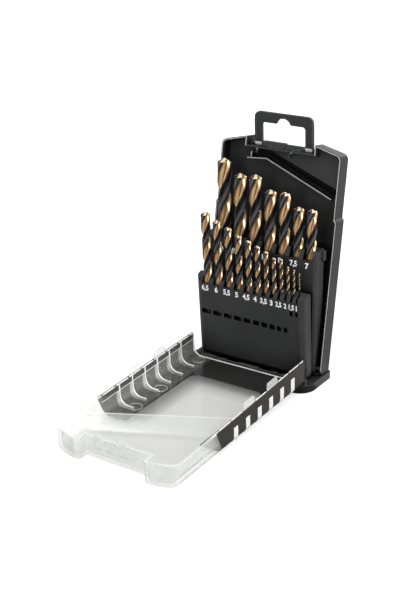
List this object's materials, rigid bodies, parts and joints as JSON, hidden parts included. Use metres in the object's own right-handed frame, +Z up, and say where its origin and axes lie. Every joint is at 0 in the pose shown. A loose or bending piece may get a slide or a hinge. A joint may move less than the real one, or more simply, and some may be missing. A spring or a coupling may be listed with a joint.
{
  "type": "drill bit case",
  "caption": "Open drill bit case on its foot: clear lid with dark grips laid forward, two linked tiers of twist bits, leaning tray and a fold-down hanger.",
  "frame": {"origin": "middle of the foot's underside, on the ground, between the hinge and the tray", "axes": "+Z up; -Y towards the opened lid, +Y towards the back of the tray; X across the case, bits rising in size towards -X"},
  "size_m": [0.0968, 0.2042, 0.1765],
  "materials": {
    "shell_black": "satin, fine grain, slightly shinier edges",
    "holder_black": "satin, fine grain, plain white numerals in front of the pockets",
    "grip_soft": "soft, matt, dark brown-grey",
    "lid_frosted": "clear plastic with a lightly frosted floor",
    "steel": "bright drawn wire",
    "bit_steel": "blackened lands, bronze ground flutes, bright split points"
  },
  "bodies": {
    "base": {"back_shell": "shell_black", "foot_plate": "shell_black", "pivot_pins": "steel", "hinge_rod": "steel", "hanger_rod": "steel", "catch_plate": "shell_black"},
    "lid": {"lid_shell": "lid_frosted", "lid_grip": "grip_soft"},
    "rear_tier": {"rear_holder": "holder_black"},
    "front_tier": {"front_holder": "holder_black"},
    "hanger": {"hanger": "shell_black"},
    "bit_010": {"bit_010": "bit_steel"},
    "bit_015": {"bit_015": "bit_steel"},
    "bit_020": {"bit_020": "bit_steel"},
    "bit_025": {"bit_025": "bit_steel"},
    "bit_030": {"bit_030": "bit_steel"},
    "bit_035": {"bit_035": "bit_steel"},
    "bit_040": {"bit_040": "bit_steel"},
    "bit_045": {"bit_045": "bit_steel"},
    "bit_050": {"bit_050": "bit_steel"},
    "bit_055": {"bit_055": "bit_steel"},
    "bit_060": {"bit_060": "bit_steel"},
    "bit_065": {"bit_065": "bit_steel"},
    "bit_070": {"bit_070": "bit_steel"},
    "bit_075": {"bit_075": "bit_steel"},
    "bit_080": {"bit_080": "bit_steel"},
    "bit_085": {"bit_085": "bit_steel"},
    "bit_090": {"bit_090": "bit_steel"},
    "bit_095": {"bit_095": "bit_steel"},
    "bit_100": {"bit_100": "bit_steel"}
  },
  "joints": [
    {"name": "lid_hinge", "type": "hinge", "parent": "base", "child": "lid", "pos_m": [0, -0.0115, 0.0073], "axis": [1, 0, 0], "range_deg": [-100.4, 0]},
    {"name": "rear_tilt", "type": "hinge", "parent": "base", "child": "rear_tier", "pos_m": [0, 0.008, 0.0095], "axis": [1, 0, 0], "range_deg": [-8.4, 0]},
    {"name": "front_tilt", "type": "hinge", "parent": "base", "child": "front_tier", "pos_m": [0, -0.0048, 0.0133], "axis": [1, 0, 0], "range_deg": [-14.2, 0]},
    {"name": "hanger_fold", "type": "hinge", "parent": "base", "child": "hanger", "pos_m": [0, 0.02961, 0.15427], "axis": [-1, 0, 0], "range_deg": [-79, 0]},
    {"name": "bit_010_slide", "type": "slide", "parent": "front_tier", "child": "bit_010", "axis": [0, -0.0941, 0.9956], "range_m": [0, 0.0239]},
    {"name": "bit_015_slide", "type": "slide", "parent": "front_tier", "child": "bit_015", "axis": [0, -0.0941, 0.9956], "range_m": [0, 0.0279]},
    {"name": "bit_020_slide", "type": "slide", "parent": "front_tier", "child": "bit_020", "axis": [0, -0.0941, 0.9956], "range_m": [0, 0.0356]},
    {"name": "bit_025_slide", "type": "slide", "parent": "front_tier", "child": "bit_025", "axis": [0, -0.0941, 0.9956], "range_m": [0, 0.0391]},
    {"name": "bit_030_slide", "type": "slide", "parent": "front_tier", "child": "bit_030", "axis": [0, -0.0941, 0.9956], "range_m": [0, 0.0433]},
    {"name": "bit_035_slide", "type": "slide", "parent": "front_tier", "child": "bit_035", "axis": [0, -0.0941, 0.9956], "range_m": [0, 0.0488]},
    {"name": "bit_040_slide", "type": "slide", "parent": "front_tier", "child": "bit_040", "axis": [0, -0.0941, 0.9956], "range_m": [0, 0.0512]},
    {"name": "bit_045_slide", "type": "slide", "parent": "front_tier", "child": "bit_045", "axis": [0, -0.0941, 0.9956], "range_m": [0, 0.0536]},
    {"name": "bit_050_slide", "type": "slide", "parent": "front_tier", "child": "bit_050", "axis": [0, -0.0941, 0.9956], "range_m": [0, 0.0573]},
    {"name": "bit_055_slide", "type": "slide", "parent": "front_tier", "child": "bit_055", "axis": [0, -0.0941, 0.9956], "range_m": [0, 0.0601]},
    {"name": "bit_060_slide", "type": "slide", "parent": "front_tier", "child": "bit_060", "axis": [0, -0.0941, 0.9956], "range_m": [0, 0.0565]},
    {"name": "bit_065_slide", "type": "slide", "parent": "front_tier", "child": "bit_065", "axis": [0, -0.0941, 0.9956], "range_m": [0, 0.0601]},
    {"name": "bit_070_slide", "type": "slide", "parent": "rear_tier", "child": "bit_070", "axis": [0, -0.0279, 0.9996], "range_m": [0, 0.0866]},
    {"name": "bit_075_slide", "type": "slide", "parent": "rear_tier", "child": "bit_075", "axis": [0, -0.0279, 0.9996], "range_m": [0, 0.0866]},
    {"name": "bit_080_slide", "type": "slide", "parent": "rear_tier", "child": "bit_080", "axis": [0, -0.0279, 0.9996], "range_m": [0, 0.0862]},
    {"name": "bit_085_slide", "type": "slide", "parent": "rear_tier", "child": "bit_085", "axis": [0, -0.0279, 0.9996], "range_m": [0, 0.0862]},
    {"name": "bit_090_slide", "type": "slide", "parent": "rear_tier", "child": "bit_090", "axis": [0, -0.0279, 0.9996], "range_m": [0, 0.0856]},
    {"name": "bit_095_slide", "type": "slide", "parent": "rear_tier", "child": "bit_095", "axis": [0, -0.0279, 0.9996], "range_m": [0, 0.0864]},
    {"name": "bit_100_slide", "type": "slide", "parent": "rear_tier", "child": "bit_100", "axis": [0, -0.0279, 0.9996], "range_m": [0, 0.0856]}
  ],
  "couplings": [
    {"joint": "rear_tilt", "follows": "lid_hinge", "ratio": 0.0835},
    {"joint": "front_tilt", "follows": "lid_hinge", "ratio": 0.14094}
  ]
}
